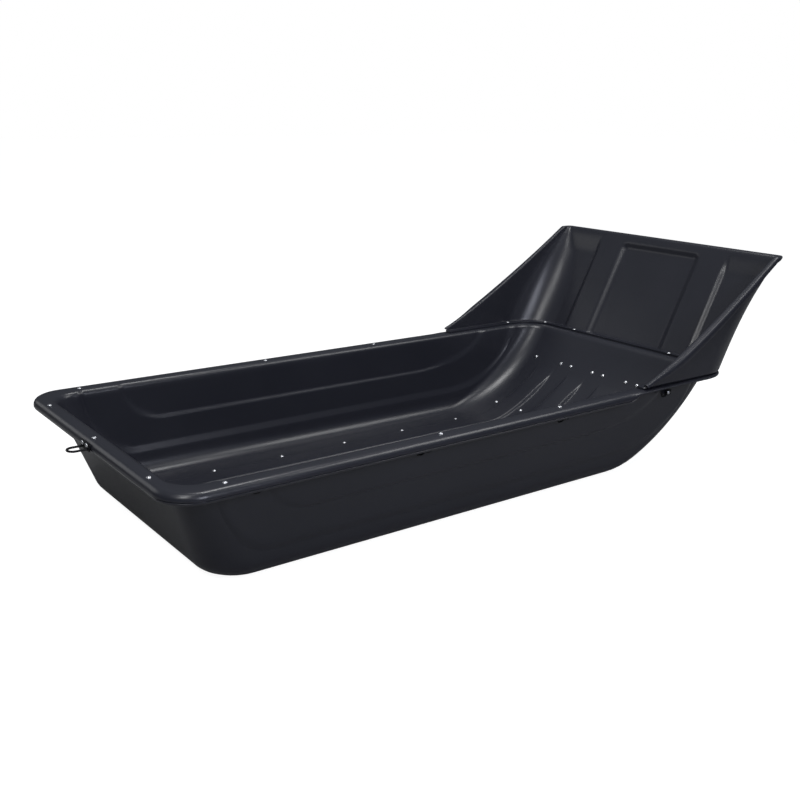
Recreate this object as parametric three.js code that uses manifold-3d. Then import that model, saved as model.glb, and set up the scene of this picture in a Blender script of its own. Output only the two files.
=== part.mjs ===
// Ice fishing sled: a moulded tub on runners, with a snow shield riveted on its bow.
// Millimetres. X runs from the tow eye at the back to the bow, Y to the left, Z up from the ground.
import * as THREE from "three";
import { mergeVertices } from "three/addons/utils/BufferGeometryUtils.js";
import Module from "manifold-3d";

const wasm = await Module();
wasm.setup();

// Sheet, gaps and cutting allowance
const sheetWall = 5;
const seatGap = 0.3;
const cutOverrun = 20;

// Rim of the tub, seen from above: x is measured here from the outer edge of the rear rim
const rimHeight = 230;
const rimHalfWidth = 400;
const rimFront = 1570;
const rimRearRadius = 100;
const rimFrontRadius = 130;
const rimEdgeRadius = 5;
const rimInnerRadius = 12;
const lipDepth = 17;
const lipFront = 1190;
const bowNarrowing = 11;

// Walls of the tub: the plain faces, without the raised panels
const runnerThickness = 5;
const sideFlange = 49.7;
const sideFilletRadius = 40;
const sideLean = THREE.MathUtils.degToRad(4.7);
const rearFlange = 34.1;
const rearFilletRadius = 50;
const rearLean = THREE.MathUtils.degToRad(19.5);
const bowFlange = 45.5;
const bowStartAngle = THREE.MathUtils.degToRad(14.6);
const bowRadius = 503;
const rearCornerLow = 95;
const rearCornerHigh = 60;
const bowCornerLow = 120;
const bowCornerHigh = 66;

// Raised side panels: a tall one, and a shorter one that stands on it
const panelStep = 6;
const upperPanelStep = 4;
const panelBottom = 65;
const panelRear = 112;
const panelRearLow = 160;
const panelFront = 1445;
const panelFrontLow = 1190;
const panelCorner = 45;
const upperPanelBottom = 138;
const upperPanelRear = 214;
const upperPanelRearLow = 240;
const upperPanelFront = 1325;
const upperPanelFrontLow = 1230;

// Keels under the floor, with a runner below each
const keelCount = 5;
const keelSideInset = 47;
const grooveWidth = 62;
const grooveDepth = 8;
const grooveRear = 175;
const grooveRamp = 20;
const grooveFrontAngle = THREE.MathUtils.degToRad(45);
const runnerWidth = 58;
const runnerRear = 165;
const runnerFrontAngle = THREE.MathUtils.degToRad(49);

// Snow shield
const shieldFrontInset = 22;
const shieldRake = 150;
const shieldRise = 281;
const shieldSideInset = 21;
const shieldFlare = 7;
const shieldWingSetback = 16;
const shieldBaseCorner = 105;
const shieldTopCorner = 16;
const shieldLipWidth = 17;
const shieldFlangeRoot = 1.5;
const shieldFlangeFrontInset = 0.5;
const shieldFlangeSideInset = 7;
const fieldDepth = 9;
const fieldSlope = 12;
const middleFieldHalfWidth = 126;
const outerFieldStart = 224;
const outerFieldEnd = 335;
const middleFieldDrop = 30;
const outerFieldDrop = 25;
const fieldRise = 20;

// Steel tube under the rim
const tubeDiameter = 20;
const tubeWall = 1.5;
const tubeSideInset = 28.5;
const tubeRearInset = 17;
const tubeFront = 1170;

// Dome-head rivets
const rivetHead = 10;
const rivetDome = 2.6;
const rivetShank = 4.8;
const rivetHole = rivetShank + 2 * seatGap;
const rimRivetDepth = 10;
const rimRivetInset = 128;
const sideRivets = [118, 606, 945];
const wingRivet = 1440;
const shieldRivetInsets = [202, 79];
const shieldRivetInset = 6.3;
const runnerRivetGauge = 40;
const runnerRivetAngle = THREE.MathUtils.degToRad(46.5);
const runnerRivetRear = 200;

// Lashing hooks on the sides
const hookPlaces = [210, 582, 978, 1335];
const hookDrop = 32;
const hookPlateLength = 20;
const hookPlateHeight = 14;
const hookPlateThickness = 2.5;
const hookWire = 5;
const hookReach = 11;
const hookLength = 22;
const hookRise = 7;

// Tow eye on the rear lip
const towPlateWidth = 44;
const towPlateHeight = 17;
const towPlateThickness = 3;
const towPlateDrop = 20;
const towBar = 5;
const towBarDrop = 16.5;
const towLoopRadius = 13.5;
const towLoopLength = 38;
const towRivetSpacing = 23;
const towRivetDrop = 8.5;
const towRivetDepth = 8;

// Rounding of the meshes
const cornerSteps = 6;
const filletSteps = 4;
const wallLevels = 13;
const roundSteps = 8;
const domeSteps = 3;

const hullBottom = runnerThickness + seatGap;
const flangeUnder = rimHeight - sheetWall;
const lipBottom = rimHeight - lipDepth;
const sideFilletHeight = hullBottom + sideFilletRadius;
const rearFilletHeight = hullBottom + rearFilletRadius;
const sideLeanRun = (rimHeight - sideFilletHeight) * Math.tan(sideLean);
const rearLeanRun = (rimHeight - rearFilletHeight) * Math.tan(rearLean);
const sideFilletCentre = rimHalfWidth - sideFlange - sideLeanRun - sideFilletRadius / Math.cos(sideLean);
const rearFilletCentre = rearFlange + rearLeanRun + rearFilletRadius / Math.cos(rearLean);
const keelPitch = (2 * (sideFilletCentre - keelSideInset)) / (keelCount - 1);
const shieldBaseFront = rimFront - shieldFrontInset;
const shieldTopFront = shieldBaseFront + shieldRake;
const shieldTop = rimHeight + shieldRise;
const shieldBaseHalfWidth = rimHalfWidth - shieldSideInset;
const shieldTopHalfWidth = shieldBaseHalfWidth + shieldFlare;
const shieldWingRear = lipFront + shieldWingSetback;
const shieldWingFront = shieldTopFront - 2 * shieldTopCorner;
const middleFieldTop = shieldTop - middleFieldDrop;
const outerFieldTop = shieldTop - outerFieldDrop;
const fieldBottom = rimHeight + fieldRise;
const hookHeight = rimHeight - hookDrop;
const towPlateBottom = rimHeight - towPlateDrop;
const towBarHeight = rimHeight - towBarDrop;
const towRivetHeight = rimHeight - towRivetDrop;
const shieldWingSlope = Math.atan2(shieldTop - rimHeight, shieldWingFront - shieldWingRear);
const shieldLipBack = sheetWall / Math.sin(shieldWingSlope);
const bowCentreZ = hullBottom + bowRadius * Math.cos(bowStartAngle);
const bowReach = Math.sqrt(bowRadius ** 2 - (bowCentreZ - rimHeight) ** 2);
const bowCentreX = rimFront - bowFlange - bowReach;
const bowStart = bowCentreX + bowRadius * Math.sin(bowStartAngle);

// Materials
function material(color, roughness, metalness) {
  return new THREE.MeshStandardMaterial({ color, roughness, metalness });
}
const plastic = material(0x15161b, 0.5, 0);
const runnerPlastic = material(0x1b1c20, 0.55, 0);
const blackSteel = material(0x101114, 0.45, 0.8);
const zinc = material(0xc9ccd0, 0.3, 0.95);

// Solids: closed meshes in and out of the boolean library
function solidOf(geometry) {
  const bare = geometry.index ? geometry.toNonIndexed() : geometry.clone();
  bare.deleteAttribute("normal");
  bare.deleteAttribute("uv");
  const merged = mergeVertices(bare);
  const mesh = new wasm.Mesh({
    numProp: 3,
    vertProperties: new Float32Array(merged.attributes.position.array),
    triVerts: new Uint32Array(merged.index.array),
  });
  return new wasm.Manifold(mesh);
}

function geometryOf(solid) {
  const mesh = solid.getMesh();
  const geometry = new THREE.BufferGeometry();
  geometry.setAttribute("position", new THREE.BufferAttribute(mesh.vertProperties, 3));
  geometry.setIndex(new THREE.BufferAttribute(mesh.triVerts, 1));
  geometry.computeVertexNormals();
  return geometry;
}

// A loft through closed rings of equal length, listed from the bottom up, each counterclockwise from above
function loft(rings) {
  const count = rings[0].length;
  const points = rings.flat();
  const faces = [];
  for (let level = 0; level + 1 < rings.length; level += 1) {
    for (let i = 0; i < count; i += 1) {
      const next = (i + 1) % count;
      const low = level * count;
      const high = low + count;
      faces.push([low + i, low + next, high + next]);
      faces.push([low + i, high + next, high + i]);
    }
  }
  const last = (rings.length - 1) * count;
  for (let i = 1; i + 1 < count; i += 1) {
    faces.push([0, i + 1, i]);
    faces.push([last, last + i, last + i + 1]);
  }
  const geometry = new THREE.BufferGeometry();
  geometry.setAttribute("position", new THREE.Float32BufferAttribute(points.flat(), 3));
  geometry.setIndex(faces.flat());
  return solidOf(geometry);
}

// A flat outline in X and Z, drawn counterclockwise seen from -Y, pulled along Y between two planes
function slabAlongY(outline, yStart, yEnd) {
  const shape = new THREE.Shape(outline.map(([x, z]) => new THREE.Vector2(x, z)));
  const geometry = new THREE.ExtrudeGeometry(shape, { depth: yEnd - yStart, bevelEnabled: false });
  geometry.rotateX(Math.PI / 2);
  geometry.translate(0, yEnd, 0);
  return solidOf(geometry);
}

function box(x0, x1, y0, y1, z0, z1) {
  const geometry = new THREE.BoxGeometry(x1 - x0, y1 - y0, z1 - z0);
  geometry.translate((x0 + x1) / 2, (y0 + y1) / 2, (z0 + z1) / 2);
  return solidOf(geometry);
}

// The hull draws in towards the bow, so every half width follows this factor
function narrowing(x) {
  return 1 - (bowNarrowing / rimHalfWidth) * (x / rimFront);
}

// A rectangle with round corners as a ring at one height
function roundedRing(xRear, xFront, halfWidth, rearRadius, frontRadius, z) {
  const corners = [
    [xFront - frontRadius, halfWidth - frontRadius, frontRadius, 0],
    [xRear + rearRadius, halfWidth - rearRadius, rearRadius, 1],
    [xRear + rearRadius, rearRadius - halfWidth, rearRadius, 2],
    [xFront - frontRadius, frontRadius - halfWidth, frontRadius, 3],
  ];
  const ring = [];
  for (const [cx, cy, radius, quarter] of corners) {
    for (let i = 0; i <= cornerSteps; i += 1) {
      const angle = (Math.PI / 2) * (quarter + i / cornerSteps);
      const x = cx + radius * Math.cos(angle);
      const y = cy + radius * Math.sin(angle);
      ring.push([x, y * narrowing(x), z]);
    }
  }
  return ring;
}

// Faces of the hull at a height; grow moves them outward, and -sheetWall gives the inner faces
function wallReach(z, centre, height, radius, lean) {
  const tangent = height - radius * Math.sin(lean);
  if (z < tangent) {
    return centre + Math.sqrt(Math.max(radius ** 2 - (height - z) ** 2, 0));
  }
  return centre + radius / Math.cos(lean) + (z - height) * Math.tan(lean);
}

function sideFace(z, grow) {
  return wallReach(z, sideFilletCentre, sideFilletHeight, sideFilletRadius + grow, sideLean);
}

function rearFace(z, grow) {
  return -wallReach(z, -rearFilletCentre, rearFilletHeight, rearFilletRadius + grow, rearLean);
}

function bowFace(z, grow) {
  const radius = bowRadius + grow;
  const drop = Math.min(bowCentreZ - z, radius * Math.cos(bowStartAngle));
  return bowCentreX + Math.sqrt(radius ** 2 - drop ** 2);
}

function hullRing(z, grow, flare) {
  const share = z / rimHeight;
  const inset = Math.max(sideFace(sideFilletHeight, 0) - sideFace(Math.min(z, sideFilletHeight), 0), 0);
  const rearRadius = THREE.MathUtils.lerp(rearCornerLow, rearCornerHigh, share) - inset;
  const frontRadius = THREE.MathUtils.lerp(bowCornerLow, bowCornerHigh, share) - inset;
  return roundedRing(
    rearFace(z, grow) - flare,
    bowFace(z, grow) + flare,
    sideFace(z, grow) + flare,
    rearRadius + grow + flare,
    frontRadius + grow + flare,
    z,
  );
}

function hullLoft(grow, open) {
  const bottom = hullBottom - grow;
  const filletTop = sideFilletHeight;
  const wallTop = open ? rimHeight - rimInnerRadius : flangeUnder + sheetWall / 2;
  const rings = [];
  for (let i = 0; i <= filletSteps; i += 1) {
    const angle = (Math.PI / 2) * (i / filletSteps);
    rings.push(hullRing(filletTop - (filletTop - bottom) * Math.cos(angle), grow, 0));
  }
  for (let i = 1; i <= wallLevels; i += 1) {
    rings.push(hullRing(THREE.MathUtils.lerp(filletTop, wallTop, i / wallLevels), grow, 0));
  }
  if (open) {
    for (let i = 1; i <= filletSteps; i += 1) {
      const angle = (Math.PI / 2) * (i / filletSteps);
      const z = wallTop + rimInnerRadius * Math.sin(angle);
      rings.push(hullRing(z, grow, rimInnerRadius * (1 - Math.cos(angle))));
    }
    const above = rings.at(-1).map(([x, y, z]) => [x, y, z + cutOverrun]);
    rings.push(above);
  }
  return loft(rings);
}

// Space taken up by the side panels on both sides, inset inside the tub by the sheet's thickness
function lowerPanels(inset) {
  return panelSlabs(
    panelBottom + inset, panelRear + inset, panelRearLow + inset, panelFront - inset, panelFrontLow - inset,
  );
}

function upperPanels(inset) {
  return panelSlabs(
    upperPanelBottom + inset, upperPanelRear + inset, upperPanelRearLow + inset,
    upperPanelFront - inset, upperPanelFrontLow - inset,
  );
}

function panelSlabs(...edges) {
  const sides = rimHalfWidth + cutOverrun;
  const middle = box(
    -cutOverrun, rimFront, -sideFilletCentre, sideFilletCentre, -cutOverrun, rimHeight + 2 * cutOverrun,
  );
  return slabAlongY(panelOutline(...edges), -sides, sides).subtract(middle);
}

// Outline of a side panel in X and Z, with its two lower corners rounded
function panelOutline(bottom, rear, rearLow, front, frontLow) {
  const top = rimHeight + cutOverrun;
  const outline = new THREE.Shape();
  outline.moveTo(rear, top);
  outline.lineTo(THREE.MathUtils.lerp(rearLow, rear, panelCorner / (top - bottom)), bottom + panelCorner);
  outline.quadraticCurveTo(rearLow, bottom, rearLow + panelCorner, bottom);
  outline.lineTo(frontLow - panelCorner, bottom);
  outline.quadraticCurveTo(frontLow, bottom, frontLow + panelCorner, bottom + panelCorner / 2);
  outline.lineTo(front, top);
  return outline.getPoints(filletSteps).map((point) => [point.x, point.y]);
}

// A profile under the hull that follows the floor and then the bow, at a set distance inside or outside it
function floorPath(rear, distance, frontAngle) {
  const path = [[rear, hullBottom + distance]];
  const steps = wallLevels;
  for (let i = 0; i <= steps; i += 1) {
    const angle = THREE.MathUtils.lerp(bowStartAngle, frontAngle, i / steps);
    const radius = bowRadius - distance;
    path.push([bowCentreX + radius * Math.sin(angle), bowCentreZ - radius * Math.cos(angle)]);
  }
  return path;
}

// Prism that forms a groove between two keels: under the hull, or the matching rib on the floor inside
function groovePrism(centre, width, depth, longer) {
  const rear = grooveRear - longer;
  const outside = floorPath(rear, -sheetWall, grooveFrontAngle + longer / bowRadius);
  const ceiling = floorPath(rear + grooveRamp, depth, grooveFrontAngle - grooveRamp / bowRadius);
  const outline = [outside[0], outside.at(-1), ...ceiling.reverse()];
  outline.splice(1, 0, [bowStart, hullBottom - sheetWall], ...outside.slice(2, -1));
  return slabAlongY(outline, centre - width / 2, centre + width / 2);
}

function grooveCentres() {
  const centres = [];
  for (let i = 0; i + 1 < keelCount; i += 1) {
    centres.push((i + 1 - keelCount / 2) * keelPitch);
  }
  return centres;
}

function keelCentres() {
  const centres = [];
  for (let i = 0; i < keelCount; i += 1) {
    centres.push((i - (keelCount - 1) / 2) * keelPitch);
  }
  return centres;
}

// Rim: the flat flange all round, and the turned-down lip as far as the shield
function rimRing(z, inset) {
  return roundedRing(
    inset,
    rimFront - inset,
    rimHalfWidth - inset,
    rimRearRadius - inset,
    rimFrontRadius - inset,
    z,
  );
}

function rimSolid() {
  const rings = [rimRing(lipBottom, rimEdgeRadius / 3), rimRing(lipBottom + rimEdgeRadius / 2, 0)];
  for (let i = 0; i <= filletSteps; i += 1) {
    const angle = (Math.PI / 2) * (i / filletSteps);
    const z = rimHeight - rimEdgeRadius * (1 - Math.sin(angle));
    rings.push(rimRing(z, rimEdgeRadius * (1 - Math.cos(angle))));
  }
  const hollow = loft([
    rimRing(lipBottom - cutOverrun, sheetWall),
    rimRing(flangeUnder, sheetWall),
  ]);
  const trim = box(
    lipFront, rimFront + cutOverrun,
    -rimHalfWidth - cutOverrun, rimHalfWidth + cutOverrun,
    lipBottom - cutOverrun, flangeUnder,
  );
  return loft(rings).subtract(hollow).subtract(trim);
}

// Rivets: a lathed dome head with its shank below, standing on the point where its head seats
function rivetProfile(depth) {
  const shank = rivetShank / 2;
  const head = rivetHead / 2;
  const points = [
    new THREE.Vector2(0, -depth),
    new THREE.Vector2(shank, -depth),
    new THREE.Vector2(shank, seatGap),
  ];
  for (let i = 0; i <= domeSteps; i += 1) {
    const angle = (Math.PI / 2) * (i / domeSteps);
    points.push(new THREE.Vector2(head * Math.cos(angle), seatGap + rivetDome * Math.sin(angle)));
  }
  points.at(-1).x = 0;
  return points;
}

function rivetGeometry(depth) {
  const geometry = new THREE.LatheGeometry(rivetProfile(depth), roundSteps);
  geometry.rotateX(Math.PI / 2);
  return geometryOf(solidOf(geometry));
}

function rivetHoleSolid(place, above, below) {
  const geometry = new THREE.CylinderGeometry(rivetHole / 2, rivetHole / 2, above + below, roundSteps);
  geometry.rotateX(Math.PI / 2);
  geometry.translate(0, 0, (above - below) / 2);
  geometry.applyMatrix4(place);
  return solidOf(geometry);
}

// Frame of a rivet or hook: its z axis points along the given direction
function placed(position, direction) {
  const turn = new THREE.Quaternion().setFromUnitVectors(new THREE.Vector3(0, 0, 1), direction);
  return new THREE.Matrix4().compose(position, turn, new THREE.Vector3(1, 1, 1));
}

function rimRivetPlaces() {
  const up = new THREE.Vector3(0, 0, 1);
  const places = [];
  for (const y of [rimRivetInset - rimHalfWidth, 0, rimHalfWidth - rimRivetInset]) {
    const point = new THREE.Vector3(tubeRearInset, y, rimHeight);
    places.push([`rim_rivet_rear_${places.length + 1}`, placed(point, up)]);
  }
  for (const [side, sign] of [["left", 1], ["right", -1]]) {
    sideRivets.forEach((x, i) => {
      const y = sign * tubeSide(x);
      places.push([`rim_rivet_${side}_${i + 1}`, placed(new THREE.Vector3(x, y, rimHeight), up)]);
    });
  }
  return places;
}

function shieldRivetPlaces() {
  const up = new THREE.Vector3(0, 0, 1);
  const top = rimHeight + seatGap + sheetWall;
  const places = [];
  for (const [side, sign] of [["left", 1], ["right", -1]]) {
    const wingY = sign * tubeSide(wingRivet);
    places.push([`shield_rivet_${side}_wing`, placed(new THREE.Vector3(wingRivet, wingY, top), up)]);
    shieldRivetInsets.forEach((inset, i) => {
      const y = sign * (shieldBaseHalfWidth - inset);
      const point = new THREE.Vector3(shieldBaseFront - sheetWall - shieldRivetInset, y, top);
      places.push([`shield_rivet_${side}_${i + 1}`, placed(point, up)]);
    });
  }
  return places;
}

// Rivets of the runners: one each at the rear; at the front pairs, but single ones on the outer two
function runnerRivetPlaces() {
  const places = [];
  const radius = bowRadius - sheetWall - seatGap;
  const inward = new THREE.Vector3(-Math.sin(runnerRivetAngle), 0, Math.cos(runnerRivetAngle));
  const up = new THREE.Vector3(0, 0, 1);
  keelCentres().forEach((centre, i) => {
    const outermost = i === 0 || i === keelCount - 1;
    const spread = outermost ? [0] : [-runnerRivetGauge / 2, runnerRivetGauge / 2];
    spread.forEach((offset, k) => {
      const x = bowCentreX + radius * Math.sin(runnerRivetAngle);
      const z = bowCentreZ - radius * Math.cos(runnerRivetAngle);
      const place = placed(new THREE.Vector3(x, centre + offset, z), inward);
      places.push([`runner_rivet_${i + 1}_front_${k + 1}`, place]);
    });
    const rear = new THREE.Vector3(runnerRivetRear, centre, hullBottom + sheetWall);
    places.push([`runner_rivet_${i + 1}_rear`, placed(rear, up)]);
  });
  return places;
}

// Outer face of the side wall where a hook sits; the two middle hooks sit on the upper panel
function hookPlaceList() {
  const places = [];
  for (const [side, sign] of [["left", 1], ["right", -1]]) {
    hookPlaces.forEach((x, i) => {
      const onUpper = x > upperPanelRearLow && x < upperPanelFrontLow;
      const grow = panelStep + (onUpper ? upperPanelStep : 0);
      const y = sign * sideFace(hookHeight, grow) * narrowing(x);
      const point = new THREE.Vector3(x, y, hookHeight);
      const out = new THREE.Vector3(0, sign * Math.cos(sideLean), -Math.sin(sideLean));
      places.push([`${side}_${i + 1}`, sign, point, out]);
    });
  }
  return places;
}

// Tub
function tubGeometry() {
  const bothSteps = panelStep + upperPanelStep;
  let outer = hullLoft(0, false);
  outer = outer.add(hullLoft(panelStep, false).intersect(lowerPanels(0)));
  outer = outer.add(hullLoft(bothSteps, false).intersect(upperPanels(0)));
  let cavity = hullLoft(-sheetWall, true);
  cavity = cavity.add(hullLoft(panelStep - sheetWall, true).intersect(lowerPanels(sheetWall)));
  cavity = cavity.add(hullLoft(bothSteps - sheetWall, true).intersect(upperPanels(sheetWall)));
  for (const centre of grooveCentres()) {
    outer = outer.subtract(groovePrism(centre, grooveWidth, grooveDepth, 0));
    cavity = cavity.subtract(
      groovePrism(centre, grooveWidth + 2 * sheetWall, grooveDepth + sheetWall, sheetWall),
    );
  }
  let tub = rimSolid().add(outer).subtract(cavity);
  const deep = sheetWall + grooveDepth;
  for (const [, place] of rimRivetPlaces()) {
    tub = tub.subtract(rivetHoleSolid(place, cutOverrun, deep));
  }
  for (const [, place] of shieldRivetPlaces()) {
    tub = tub.subtract(rivetHoleSolid(place, 0, 2 * deep));
  }
  for (const [, place] of runnerRivetPlaces()) {
    tub = tub.subtract(rivetHoleSolid(place, deep, deep));
  }
  for (const [, , point, out] of hookPlaceList()) {
    tub = tub.subtract(rivetHoleSolid(placed(point, out), deep, deep));
  }
  for (const [, place] of towRivetPlaces()) {
    tub = tub.subtract(rivetHoleSolid(place, 0, towPlateThickness + sheetWall + deep));
  }
  return geometryOf(tub);
}

// Runner: a strip that follows the keel from the rear of the floor up the bow
function runnerGeometry(centre) {
  const top = floorPath(runnerRear + runnerThickness, -seatGap, runnerFrontAngle);
  const under = floorPath(runnerRear, -hullBottom, runnerFrontAngle);
  const outline = [...under, ...top.reverse()];
  let strip = slabAlongY(outline, centre - runnerWidth / 2, centre + runnerWidth / 2);
  for (const [, place] of runnerRivetPlaces()) {
    strip = strip.subtract(rivetHoleSolid(place, 0, 2 * hullBottom + sheetWall));
  }
  return geometryOf(strip);
}

// Snow shield: wings and leaning front as one sheet, with a turned-out lip and a flange on the rim
function shieldShare(z) {
  return (z - rimHeight) / (shieldTop - rimHeight);
}

function shieldPath(z, inward, back) {
  const share = shieldShare(z);
  const front = THREE.MathUtils.lerp(shieldBaseFront, shieldTopFront, share) - inward;
  const edge = THREE.MathUtils.lerp(shieldBaseHalfWidth, shieldTopHalfWidth, share);
  const half = edge - inward;
  const corner = Math.max(
    THREE.MathUtils.lerp(shieldBaseCorner, shieldTopCorner, share) - inward,
    rimEdgeRadius,
  );
  const wingEnd = THREE.MathUtils.lerp(shieldWingRear, shieldWingFront, share) - back;
  const left = [[wingEnd, edge + shieldLipWidth], [wingEnd, half]];
  for (let i = 0; i <= cornerSteps; i += 1) {
    const angle = (Math.PI / 2) * (1 - i / cornerSteps);
    const x = front - corner + corner * Math.cos(angle);
    left.push([x, half - corner + corner * Math.sin(angle)]);
  }
  const outer = z > fieldBottom && z < outerFieldTop - fieldSlope ? fieldDepth : 0;
  const middle = z > fieldBottom && z < middleFieldTop - fieldSlope ? fieldDepth : 0;
  const outerEnd = Math.min(outerFieldEnd, half - corner - 2 * seatGap);
  left.push([front, outerEnd]);
  left.push([front + outer, outerEnd - fieldSlope]);
  left.push([front + outer, outerFieldStart + fieldSlope]);
  left.push([front, outerFieldStart]);
  left.push([front, middleFieldHalfWidth + fieldSlope]);
  left.push([front + middle, middleFieldHalfWidth]);
  const right = left.map(([x, y]) => [x, -y]).reverse();
  return [...left, ...right].map(([x, y]) => [x, y, z]);
}

// Rows of points up one face of the shield: back is the lip's thickness on the inside face, zero outside
function shieldRows(inward, back, top) {
  const levels = [
    rimHeight + seatGap,
    fieldBottom,
    fieldBottom + fieldSlope,
    THREE.MathUtils.lerp(fieldBottom, middleFieldTop, 1 / 2),
    middleFieldTop - fieldSlope - seatGap,
    middleFieldTop,
    outerFieldTop + fieldSlope / 2,
    top,
  ];
  const rows = levels.map((z) => shieldPath(z, inward, back));
  rows.push(shieldPath(top, sheetWall - shieldLipWidth, back));
  return rows;
}

// A sheet between two grids of points of equal size, closed round its edges
function sheetSolid(outerRows, innerRows) {
  const rows = outerRows.length;
  const count = outerRows[0].length;
  const points = [...outerRows.flat(), ...innerRows.flat()];
  const half = rows * count;
  const at = (row, i) => row * count + i;
  const faces = [];
  const quad = (a, b, c, d) => faces.push([a, b, c], [a, c, d]);
  for (let row = 0; row + 1 < rows; row += 1) {
    for (let i = 0; i + 1 < count; i += 1) {
      quad(at(row, i + 1), at(row, i), at(row + 1, i), at(row + 1, i + 1));
      quad(half + at(row, i), half + at(row, i + 1), half + at(row + 1, i + 1), half + at(row + 1, i));
    }
    quad(at(row, 0), half + at(row, 0), half + at(row + 1, 0), at(row + 1, 0));
    const end = count - 1;
    quad(half + at(row, end), at(row, end), at(row + 1, end), half + at(row + 1, end));
  }
  const top = rows - 1;
  for (let i = 0; i + 1 < count; i += 1) {
    quad(at(0, i), at(0, i + 1), half + at(0, i + 1), half + at(0, i));
    quad(at(top, i + 1), at(top, i), half + at(top, i), half + at(top, i + 1));
  }
  const geometry = new THREE.BufferGeometry();
  geometry.setAttribute("position", new THREE.Float32BufferAttribute(points.flat(), 3));
  geometry.setIndex(faces.flat());
  return solidOf(geometry);
}

// A loft through rings that need not be level; the outward side is found from the volume's sign
function loftOpen(rings) {
  const forward = ringsGeometry(rings);
  const solid = solidOf(forward);
  return solid.volume() > 0 ? solid : solidOf(ringsGeometry(rings.map((ring) => [...ring].reverse())));
}

function ringsGeometry(rings) {
  const count = rings[0].length;
  const faces = [];
  for (let level = 0; level + 1 < rings.length; level += 1) {
    for (let i = 0; i < count; i += 1) {
      const next = (i + 1) % count;
      const low = level * count;
      const high = low + count;
      faces.push([low + i, low + next, high + next], [low + i, high + next, high + i]);
    }
  }
  const caps = THREE.ShapeUtils.triangulateShape(sectionShape(rings[0]), []);
  const last = (rings.length - 1) * count;
  for (const [a, b, c] of caps) {
    faces.push([a, c, b], [last + a, last + b, last + c]);
  }
  const geometry = new THREE.BufferGeometry();
  geometry.setAttribute("position", new THREE.Float32BufferAttribute(rings.flat(2), 3));
  geometry.setIndex(faces.flat());
  return geometry;
}

function sectionShape(ring) {
  const points = ring.map((point) => new THREE.Vector3(...point));
  const side = points[1].clone().sub(points[0]).normalize();
  const normal = new THREE.Vector3();
  for (let i = 0; i < points.length; i += 1) {
    normal.add(new THREE.Vector3().crossVectors(points[i], points[(i + 1) % points.length]));
  }
  const rise = new THREE.Vector3().crossVectors(normal.normalize(), side);
  return points.map((point) => new THREE.Vector2(point.dot(side), point.dot(rise)));
}

function shieldGeometry() {
  const outerRows = shieldRows(0, 0, shieldTop - sheetWall);
  const innerRows = shieldRows(sheetWall, shieldLipBack, shieldTop);
  let shield = sheetSolid(outerRows, innerRows);
  const base = rimHeight + seatGap;
  const flange = loft([
    shieldFlangeRing(base),
    shieldFlangeRing(base + sheetWall),
  ]);
  const openingRing = roundedRing(
    0,
    bowFace(rimHeight, -sheetWall) + rimInnerRadius + shieldFlangeFrontInset,
    sideFace(rimHeight, -sheetWall) + rimInnerRadius + shieldFlangeSideInset,
    rimRearRadius,
    bowCornerHigh,
    rimHeight,
  );
  const opening = loft([openingRing, openingRing.map(([x, y, z]) => [x, y, z + cutOverrun])]);
  const rearCut = box(
    -cutOverrun, shieldWingRear, -rimHalfWidth, rimHalfWidth, base - cutOverrun, base + cutOverrun,
  );
  shield = shield.add(flange.subtract(opening).subtract(rearCut));
  for (const [, place] of shieldRivetPlaces()) {
    shield = shield.subtract(rivetHoleSolid(place, 0, 2 * sheetWall));
  }
  return geometryOf(shield);
}

function shieldFlangeRing(z) {
  const ring = [];
  const corner = shieldBaseCorner - shieldFlangeRoot;
  const cy = shieldBaseHalfWidth - shieldBaseCorner;
  const cx = shieldBaseFront - shieldBaseCorner;
  for (let i = 0; i <= cornerSteps; i += 1) {
    const angle = (Math.PI / 2) * (i / cornerSteps);
    ring.push([cx + corner * Math.cos(angle), cy + corner * Math.sin(angle), z]);
  }
  ring.push([lipFront, shieldBaseHalfWidth - shieldFlangeRoot, z]);
  ring.push([lipFront, shieldFlangeRoot - shieldBaseHalfWidth, z]);
  for (let i = 0; i <= cornerSteps; i += 1) {
    const angle = (Math.PI / 2) * (3 + i / cornerSteps);
    ring.push([cx + corner * Math.cos(angle), -cy + corner * Math.sin(angle), z]);
  }
  return ring;
}

// Steel tube under the flange, from one side round the rear to the other; rim rivets go down into it
function tubeSide(x) {
  return (rimHalfWidth - tubeSideInset) * narrowing(x);
}

function tubeStations() {
  const z = flangeUnder - seatGap - tubeDiameter / 2;
  const cx = rimRearRadius;
  const cy = rimHalfWidth - rimRearRadius;
  const half = [[new THREE.Vector3(tubeFront, tubeSide(tubeFront), z), new THREE.Vector3(0, 1, 0)]];
  for (let i = 0; i <= cornerSteps; i += 1) {
    const angle = (Math.PI / 2) * (i / cornerSteps);
    const out = new THREE.Vector3(-Math.sin(angle), Math.cos(angle), 0);
    const x = cx - (cx - tubeRearInset) * Math.sin(angle);
    half.push([new THREE.Vector3(x, cy + (tubeSide(cx) - cy) * Math.cos(angle), z), out]);
  }
  const mirror = (vector) => new THREE.Vector3(vector.x, -vector.y, vector.z);
  return [...half, ...half.map((station) => station.map(mirror)).reverse()];
}

function tubeSweep(radius, longer) {
  const stations = tubeStations();
  stations[0][0].x += longer;
  stations.at(-1)[0].x += longer;
  const up = new THREE.Vector3(0, 0, 1);
  return loftOpen(stations.map(([point, out]) => {
    const ring = [];
    for (let i = 0; i < roundSteps; i += 1) {
      const angle = (2 * Math.PI * (i + 0.5)) / roundSteps;
      const spoke = out.clone().multiplyScalar(Math.cos(angle)).addScaledVector(up, Math.sin(angle));
      ring.push(point.clone().addScaledVector(spoke, radius).toArray());
    }
    return ring;
  }));
}

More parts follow.
